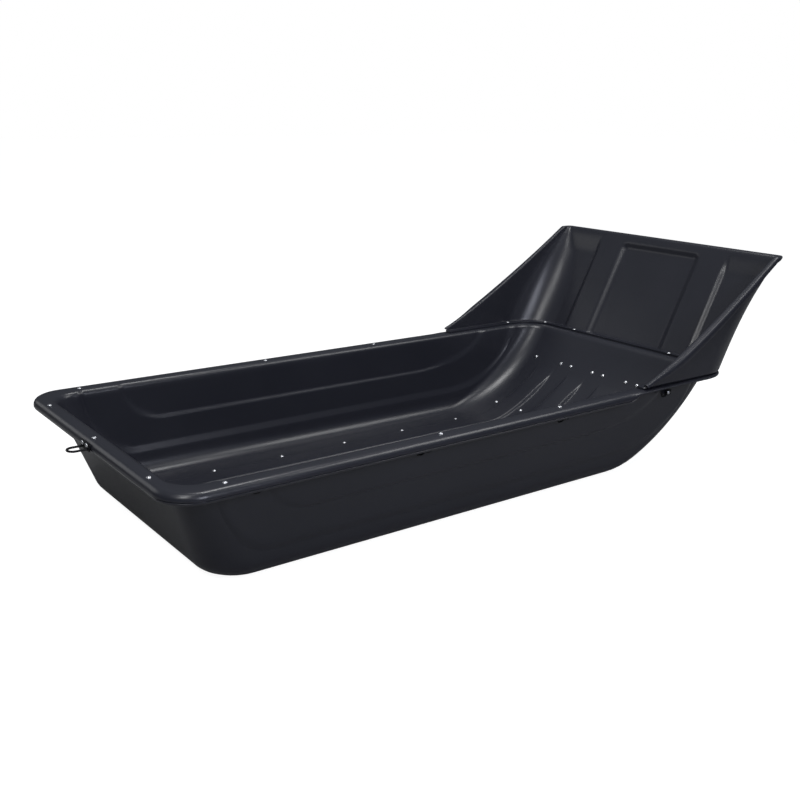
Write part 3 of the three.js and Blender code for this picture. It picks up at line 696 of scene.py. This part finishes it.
# %% A point on the shield's inner face; column 0 is the middle, the last one the end of a wing
def shield_point(height, column, side):
    share = (height - rim_height) / (shield_top - rim_height)
    front = mix(shield_base_front, shield_top_front, share) - sheet
    half = mix(shield_base_half, shield_top_half, share) - sheet
    tapered = mix(shield_base_corner, shield_top_corner, share ** corner_taper) - sheet
    corner = max(tapered, shield_least_corner)
    straight = half - corner
    if column <= middle_columns + shoulder_columns:
        y = middle_half * column / middle_columns
        if column > middle_columns:
            y = mix(middle_half, straight, (column - middle_columns) / shoulder_columns)
        return Vector((front + field_depth_at(y, height), side * y, height)), Vector((1, 0, 0))
    column -= middle_columns + shoulder_columns
    if column <= corner_columns:
        angle = quarter_turn * column / corner_columns
        turned = Vector((math.cos(angle), side * math.sin(angle), 0))
        fading = field_depth_at(straight, height) * (1 - smooth_step(0, corner_columns, column))
        centre = Vector((front - corner, side * straight, height))
        return centre + turned * (corner + fading), turned
    wing_end = mix(shield_wing_rear, shield_wing_front, max(share, 0.0) ** shield_wing_curve)
    x = mix(front - corner, wing_end, (column - corner_columns) / wing_columns)
    return Vector((x, side * half, height)), Vector((0, side, 0))


print("a wing's foot ends at", shield_point(shield_foot, half_columns, 1)[0])

# %% [markdown]
# The flange and the lip are the same sheet, bent over. Both are extruded from the wall's edges in
# small steps: the flange goes round its bend and then flat, and the lip goes on to roll down into
# a short skirt. The way of such an edge is a list of pairs: how far onward, how far aside.

# %% Sizes of the flange and the lip
shield_flange_bend = 0.0015
flange_front_reach = 0.0115
flange_side_reach = 0.0185
shield_lip_bend = 0.006
shield_lip_roll = 0.0105
lip_front_reach = 0.0145
lip_side_reach = 0.022
lip_tip_reach = 0.016
lip_tip_drop = 0.200
lip_end_reach = 0.0125
lip_end_rise = 0.060
lip_skirt = 0.006
print("the lip is up to", lip_side_reach, "wide and the flange up to", flange_side_reach)

# %% Ways round an edge
bend_steps = 4
flat_steps = 3
skirt_steps = 2
least_flat = 0.001
least_step = 0.0005


def bend_way(radius):
    return [(radius * (2 * b - b * b), radius * b * b) for b in spread(0, 1, bend_steps)]


def flange_way(reach):
    radius = shield_flange_bend
    return bend_way(radius) + [(radius, out) for out in spread(radius, reach, flat_steps)]


def lip_way(reach):
    """The lip turns out, runs flat, then rolls back into a short skirt."""
    radius = shield_lip_bend
    roll = min(shield_lip_roll, max(reach - radius, least_flat) - least_step)
    flat_end = max(reach, radius + least_flat) - roll
    flat = [(radius, out) for out in spread(radius, flat_end, flat_steps)]
    end = flat[-1][1]
    rolled = [(radius - aside, end + onward) for onward, aside in bend_way(roll)]
    skirt = lip_skirt * smooth_step(lip_end_reach, lip_side_reach, reach)
    drops = spread(0, skirt + least_step, skirt_steps)
    return bend_way(radius) + flat + rolled + [(radius - roll - drop, end + roll) for drop in drops]


print("steps of the flange:", len(flange_way(flange_front_reach)))
print("steps of the lip:", len(lip_way(lip_side_reach)))

# %% Extrude an edge step by step along such a way
edge_notes = ("start", "onward", "aside")


def open_edges(bm, verts):
    """The edges of the sheet's border that join two of these corners."""
    ends = set(verts)
    return [edge for edge in bm.edges if edge.is_boundary and set(edge.verts) <= ends]


def turn_edge(bm, edges, way):
    start, onward, aside = (bm.verts.layers.float_vector[note] for note in edge_notes)
    steps = len(way(lip_side_reach))
    for step in range(steps):
        made = bmesh.ops.extrude_edge_only(bm, edges=edges)["geom"]
        fresh = {item for item in made if isinstance(item, bmesh.types.BMVert)}
        made_edges = [item for item in made if isinstance(item, bmesh.types.BMEdge)]
        edges = [edge for edge in made_edges if set(edge.verts) <= fresh]
        for vert in fresh:
            reach = vert[aside].length
            forth, out = way(reach)[step]
            vert.co = vert[start] + vert[onward] * forth + vert[aside] / reach * out


print("each corner of an edge notes:", edge_notes)

# %% [markdown]
# Every corner of the wall's border notes where it starts, which way is onward, and which way is
# aside, as long as the flange or the lip is wide there. Onward is measured on the wall itself, by
# a probe a millimetre further up or down. At the end of a wing the lip goes on square to the edge.

# %% The corners of the shield's wall
wall_bottom = shield_foot + shield_flange_bend
wall_end = shield_top - shield_lip_bend
Placed = namedtuple("Placed", "vert row column side outward")


def place_wall(bm, start):
    """Moves the grid's corners to the wall and lists them."""
    squares = 2 * half_columns
    bmesh.ops.create_grid(bm, x_segments=squares, y_segments=shield_rows, size=0.5)
    placed = []
    for vert in bm.verts:
        i = round((vert.co.x + 0.5) * squares) - half_columns
        row = round((vert.co.y + 0.5) * shield_rows)
        side = -1 if i > 0 else 1
        height = mix(wall_bottom, wall_end, row / shield_rows)
        vert.co, outward = shield_point(height, abs(i), side)
        vert[start] = vert.co
        placed.append(Placed(vert, row, abs(i), side, outward))
    return placed


print("the shield's wall runs from", round(wall_bottom, 4), "to", round(wall_end, 4))

# %% What the corners of the wall's border note
probe = 0.001
up = Vector((0, 0, 1))


def note_foot(corner, onward, aside):
    vert, _, column, side, outward = corner
    below = shield_point(wall_bottom - probe, column, side)[0]
    vert[onward] = (below - vert.co) / probe
    reach = mix(flange_front_reach, flange_side_reach, outward.y ** 2)
    on_wing = column > half_columns - wing_columns
    in_field = 0 if on_wing else field_depth_at(abs(vert.co.y), wall_bottom)
    vert[aside] = -outward * (reach + in_field * outward.x)


def note_lip(corner, start, onward, aside):
    vert, row, column, side, outward = corner
    height = vert[start].z
    above = shield_point(height + probe, column, side)[0]
    upward = (above - vert[start]) / probe
    if column == half_columns:
        off_edge = Vector((-upward.z, 0, upward.x)).normalized()
        upward = (up + off_edge) / 2 if row == shield_rows else off_edge
    vert[onward] = upward
    near_tip = smooth_step(wall_end - lip_tip_drop, wall_end, height)
    side_reach = mix(lip_side_reach, lip_tip_reach, near_tip)
    off_end = smooth_step(wall_bottom, wall_bottom + lip_end_rise, height)
    side_reach = mix(lip_end_reach, side_reach, off_end)
    vert[aside] = outward * mix(lip_front_reach, side_reach, outward.y ** 2)


print("onward is measured over", probe, "along", up)


# %% The shield
def make_shield():
    bm = bmesh.new()
    start, onward, aside = [bm.verts.layers.float_vector.new(note) for note in edge_notes]
    placed = place_wall(bm, start)
    foot = [corner for corner in placed if corner.row == 0]
    lip = [corner for corner in placed
           if corner.row == shield_rows or corner.column == half_columns]
    foot_edges = open_edges(bm, [corner.vert for corner in foot])
    lip_edges = open_edges(bm, [corner.vert for corner in lip])
    for corner in foot:
        note_foot(corner, onward, aside)
    turn_edge(bm, foot_edges, flange_way)
    for corner in lip:
        note_lip(corner, start, onward, aside)
    turn_edge(bm, lip_edges, lip_way)
    bmesh.ops.translate(bm, verts=bm.verts, vec=(rear_x, 0, 0))
    shield = to_object("shield_moulding", bm, black_plastic)
    thicken(shield, sheet)
    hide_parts("snow_shield")
    return shield


shield = make_shield()
print("shield faces:", len(shield.data.polygons))

# %% [markdown]
# Rivets hold everything together. Each is a bright zinc dome on a short shank. A rivet could be
# spun from a profile, but half a squashed sphere has its even dome at once, and the shank is
# extruded from its rim. The CAD rivets give the places: the point that lies farthest along a
# rivet's direction is the top of its dome.

# %% Zinc
zinc, zinc_shader = new_finish("zinc_plating", colour=(0.62, 0.63, 0.65),
                               roughness=0.3, metallic=1.0)
add_pattern(zinc, zinc_shader, grain_scale=900.0, grain_depth=0.0001,
            cloud_scale=60.0, rough_from=0.24, rough_to=0.38)
print("made", zinc.name)

# %% One rivet
rivet_head = 0.010
rivet_dome = 0.0026
rivet_shank = 0.0048
rivet_around = 20
rivet_levels = 12
rivet_tuck = 0.92
rivet_tuck_drop = 0.0004


def rivet_bmesh(depth):
    """A rivet that stands at the origin, with its dome pointing up z."""
    bm = bmesh.new()
    bmesh.ops.create_uvsphere(bm, u_segments=rivet_around, v_segments=rivet_levels,
                              radius=rivet_head / 2)
    bmesh.ops.bisect_plane(bm, geom=[*bm.verts, *bm.edges, *bm.faces],
                           plane_co=(0, 0, 0), plane_no=(0, 0, 1), clear_inner=True)
    bmesh.ops.scale(bm, verts=bm.verts, vec=(1, 1, rivet_dome / (rivet_head / 2)))
    to_shank = rivet_shank / rivet_head / rivet_tuck
    for width, drop in ((rivet_tuck, rivet_tuck_drop), (to_shank, 0.0), (1.0, depth)):
        rim = [edge for edge in bm.edges if edge.is_boundary]
        made = bmesh.ops.extrude_edge_only(bm, edges=rim)["geom"]
        verts = [item for item in made if isinstance(item, bmesh.types.BMVert)]
        bmesh.ops.scale(bm, verts=verts, vec=(width, width, 1))
        bmesh.ops.translate(bm, verts=verts, vec=(0, 0, -drop))
    bmesh.ops.holes_fill(bm, edges=[edge for edge in bm.edges if edge.is_boundary], sides=0)
    bmesh.ops.recalc_face_normals(bm, faces=bm.faces)
    return bm


print("a rivet's head is", rivet_head, "wide and its dome", rivet_dome, "high")

# %% Which way the domes of the CAD rivets point
runner_rivet_angle = math.radians(46.5)


def off_bow(angle):
    """The direction that stands off the bow's inner face, this far round its arc."""
    return Vector((-math.sin(angle), 0, math.cos(angle)))


def rivet_direction(name):
    if name.startswith("hook"):
        side = 1 if "left" in name else -1
        return Vector((0, side * math.cos(side_lean), -math.sin(side_lean)))
    if name.startswith("tow"):
        return Vector((-1, 0, 0))
    return off_bow(runner_rivet_angle) if "_front_" in name else up


cad_rivets = [name for name in sorted(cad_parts) if "rivet" in name]
print("rivets that point straight up:", sum(rivet_direction(name) == up for name in cad_rivets))

# %% The rivets that the CAD model has
joining_depth = 0.004


def place_rivet(name, apex, direction, depth):
    bm = rivet_bmesh(depth)
    turn = up.rotation_difference(direction).to_matrix().to_4x4()
    seat = apex - direction * rivet_dome
    bmesh.ops.transform(bm, matrix=Matrix.Translation(seat) @ turn, verts=bm.verts)
    return to_object(name, bm, zinc)


for name in cad_rivets:
    direction = rivet_direction(name)
    corners = [vert.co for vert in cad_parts[name].data.vertices]
    apex = max(corners, key=lambda corner: corner.dot(direction))
    rivet = place_rivet(f"{name}_dome", apex.copy(), direction, joining_depth)
    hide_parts(name)
print("CAD rivets made smooth:", len(cad_rivets))

# %% [markdown]
# The runners are held by more rivets than the CAD model has files for: five rows across the floor,
# and a second row low on the bow.

# %% Rivets in rows across the floor
keel_pitch = 0.124
outer_row_y = 0.240
row_ys = (-outer_row_y, -keel_pitch, 0.0, keel_pitch, outer_row_y)
first_row = 0.3878
row_pitch = 0.189
floor_rows = 5
runner_depth = 0.003

for row in range(floor_rows):
    for number, y in enumerate(row_ys, 1):
        apex = Vector((rear_x + first_row + row * row_pitch, y, floor_height + rivet_dome))
        place_rivet(f"floor_rivet_{row + 1}_{number}", apex, up, runner_depth)
print("rivets across the floor:", floor_rows * len(row_ys))

# %% Rivets of the second row on the bow
second_bow_angle = math.radians(23.8)
second_pair_y = 0.116
pair_half = 0.020
pair_ys = [k * second_pair_y + s * pair_half for k in (-1, 0, 1) for s in (-1, 1)]
bow_ys = (-outer_row_y, *pair_ys, outer_row_y)

inward = off_bow(second_bow_angle)
bow_centre = Vector((rear_x + bow_centre_x, 0, bow_centre_z))
for number, y in enumerate(bow_ys, 1):
    apex = bow_centre - inward * (bow_radius - rivet_dome) + Vector((0, y, 0))
    place_rivet(f"bow_rivet_{number}", apex, inward, runner_depth)
print("rivets low on the bow:", len(bow_ys))

# %% [markdown]
# The runners, the tube under the rim, the lashing hooks and the tow eye keep their CAD meshes,
# because they are simple bent bars and strips whose facets are small. They get finishes of their
# own: a duller plastic for the runners, and black painted steel for the rest.

# %% Finishes of the CAD pieces that stay
runner_plastic, runner_shader = new_finish("runner_plastic",
                                           colour=(0.02, 0.021, 0.024), roughness=0.5)
add_pattern(runner_plastic, runner_shader, grain_scale=500.0, grain_depth=0.0004,
            cloud_scale=9.0, rough_from=0.45, rough_to=0.6)
black_steel, steel_shader = new_finish("black_steel", colour=(0.006, 0.006, 0.007), roughness=0.5)
steel_shader.inputs["Specular IOR Level"].default_value = 0.2
add_pattern(black_steel, steel_shader, grain_scale=1200.0, grain_depth=0.0002,
            cloud_scale=30.0, rough_from=0.45, rough_to=0.6)


def paint_node(name, finish):
    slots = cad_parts[name].data.materials
    slots.clear()
    slots.append(finish)


for name in sorted(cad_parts):
    if name.startswith("runner_") and "rivet" not in name:
        paint_node(name, runner_plastic)
    elif name.startswith(("rim_tube", "lashing_hook", "tow_eye")):
        paint_node(name, black_steel)
print("painted the runners, the tube, the hooks and the tow eye")

# %% [markdown]
# The floor is one large plane. In a catalogue picture the ground is white, so to the camera alone
# it glows a little under full white, and the lamps' light that it reflects does the rest. That
# keeps the sled's shadow. Its own colour is a plain grey, so that it throws little light up on a
# black sled.

# %% Floor
floor_half = 20.0
floor_colour = (0.32, 0.32, 0.32)


def make_floor():
    bm = bmesh.new()
    bmesh.ops.create_grid(bm, x_segments=1, y_segments=1, size=floor_half)
    mesh = bpy.data.meshes.new("studio_floor")
    bm.to_mesh(mesh)
    bm.free()
    floor = bpy.data.objects.new("studio_floor", mesh)
    bpy.context.scene.collection.objects.link(floor)
    finish, shader = new_finish("floor_white", colour=floor_colour, roughness=0.9)
    shader.inputs["Specular IOR Level"].default_value = 0.1
    mesh.materials.append(finish)
    return floor, finish, shader


floor, floor_finish, floor_shader = make_floor()
print("floor:", floor.dimensions)

# %% The floor's glow
floor_glow = 0.94


def add_glow(finish, shader, strength):
    """Adds light of its own to the shader, for camera rays only."""
    nodes, links = finish.node_tree.nodes, finish.node_tree.links
    path = nodes.new("ShaderNodeLightPath")
    glow = nodes.new("ShaderNodeEmission")
    glow.inputs["Strength"].default_value = strength
    dark = nodes.new("ShaderNodeEmission")
    dark.inputs["Strength"].default_value = 0.0
    choose = nodes.new("ShaderNodeMixShader")
    links.new(path.outputs["Is Camera Ray"], choose.inputs["Fac"])
    links.new(dark.outputs["Emission"], choose.inputs[1])
    links.new(glow.outputs["Emission"], choose.inputs[2])
    total = nodes.new("ShaderNodeAddShader")
    links.new(shader.outputs["BSDF"], total.inputs[0])
    links.new(choose.outputs["Shader"], total.inputs[1])
    links.new(total.outputs["Shader"], nodes["Material Output"].inputs["Surface"])


add_glow(floor_finish, floor_shader, floor_glow)
print("the floor glows with", floor_glow, "to the camera")

# %% [markdown]
# The world is white where the camera sees it, straight or through something clear. As light it is
# a dim, slightly blue grey that grows from the horizon up to the zenith, as in a room with a pale
# ceiling. A black sled needs it that dim, because a bright surround would turn its sheen milky.

# %% World
world_tint = (0.86, 0.91, 1.0)
world_low = 0.04
world_high = 0.3


def make_world():
    world = bpy.data.worlds.new("studio_world")
    bpy.context.scene.world = world
    world.use_nodes = True
    nodes, links = world.node_tree.nodes, world.node_tree.links
    nodes.clear()
    path = nodes.new("ShaderNodeLightPath")
    either = nodes.new("ShaderNodeMath")
    either.operation = "MAXIMUM"
    links.new(path.outputs["Is Camera Ray"], either.inputs[0])
    links.new(path.outputs["Is Transmission Ray"], either.inputs[1])
    seen = nodes.new("ShaderNodeBackground")
    seen.inputs["Strength"].default_value = 1.0
    seen.inputs["Color"].default_value = (1, 1, 1, 1)
    light = nodes.new("ShaderNodeBackground")
    light.inputs["Color"].default_value = (*world_tint, 1)
    place = nodes.new("ShaderNodeTexCoord")
    parts = nodes.new("ShaderNodeSeparateXYZ")
    links.new(place.outputs["Generated"], parts.inputs["Vector"])
    rise = nodes.new("ShaderNodeMapRange")
    rise.inputs["To Min"].default_value = world_low
    rise.inputs["To Max"].default_value = world_high
    links.new(parts.outputs["Z"], rise.inputs["Value"])
    links.new(rise.outputs["Result"], light.inputs["Strength"])
    choose = nodes.new("ShaderNodeMixShader")
    links.new(either.outputs["Value"], choose.inputs["Fac"])
    links.new(light.outputs["Background"], choose.inputs[1])
    links.new(seen.outputs["Background"], choose.inputs[2])
    output = nodes.new("ShaderNodeOutputWorld")
    links.new(choose.outputs["Shader"], output.inputs["Surface"])
    return world


print("world:", make_world().name)

# %% [markdown]
# Black plastic shows the lamps more than its own colour, so their places are chosen by what each
# one draws: the soft streak down the shield's corner, the bright bead of the rim, the bluish sheen
# on the near wall, and the ledges of the panels. Powers are in watts.


# %% Lamps
def add_lamp(name, place, target, size, power, colour=(1, 1, 1)):
    lamp = bpy.data.lights.new(name, "AREA")
    lamp.shape = "RECTANGLE"
    lamp.size, lamp.size_y = size
    lamp.energy = power
    lamp.color = colour
    holder = bpy.data.objects.new(name, lamp)
    bpy.context.scene.collection.objects.link(holder)
    holder.location = place
    holder.rotation_euler = (Vector(target) - Vector(place)).to_track_quat("-Z", "Y").to_euler()


add_lamp("overhead_softbox", place=(1.4, -0.8, 2.4), target=(0.1, 0, 0.2), size=(1.1, 1.1),
         power=19)
add_lamp("top_softbox", place=(-1.4, -0.6, 2.8), target=(-0.3, 0, 0.2), size=(0.7, 0.7),
         power=12)
add_lamp("camera_lamp", place=(-2.1, -1.3, 2.2), target=(0, 0, 0.2), size=(0.6, 0.6), power=20)
add_lamp("rear_softbox", place=(-2.0, 2.8, 1.5), target=(0, 0, 0.2), size=(2.0, 1.4), power=7)
add_lamp("side_softbox", place=(-0.4, -2.9, 1.6), target=(0, 0, 0.2), size=(1.2, 0.8), power=30,
         colour=(0.84, 0.87, 1.0))
add_lamp("lip_softbox", place=(0.2, 0.5, 2.5), target=(0.4, -0.2, 0.3), size=(0.6, 0.6), power=15)

# %% [markdown]
# The camera stands where the photographer stood: low over the near rear corner, looking along the
# sled. Its place and lens were found from the sled's known shape.

# %% Camera
camera_place = Vector((-1.47605, -1.9285, 0.8851))
camera_turn = math.radians(36.222)
camera_dip = math.radians(16.312)
camera_roll = math.radians(0.674)
camera_lens = 46.34
sensor_width = 36.0


def make_camera():
    data = bpy.data.cameras.new("photo_camera")
    data.lens = camera_lens
    data.sensor_width = sensor_width
    camera = bpy.data.objects.new("photo_camera", data)
    bpy.context.scene.collection.objects.link(camera)
    forward = Vector((math.sin(camera_turn) * math.cos(camera_dip),
                      math.cos(camera_turn) * math.cos(camera_dip), -math.sin(camera_dip)))
    level = Vector((math.cos(camera_turn), -math.sin(camera_turn), 0))
    above = level.cross(forward)
    right = level * math.cos(camera_roll) + above * math.sin(camera_roll)
    upward = above * math.cos(camera_roll) - level * math.sin(camera_roll)
    turn = Matrix((right, upward, -forward)).transposed().to_4x4()
    camera.matrix_world = Matrix.Translation(camera_place) @ turn
    bpy.context.scene.camera = camera
    return camera


camera = make_camera()
print("camera:", camera.location, "lens", camera.data.lens)

# %% [markdown]
# Colours are to come out as they are written, so the view transform is Standard.

# %% Finish
bpy.context.scene.view_settings.view_transform = "Standard"
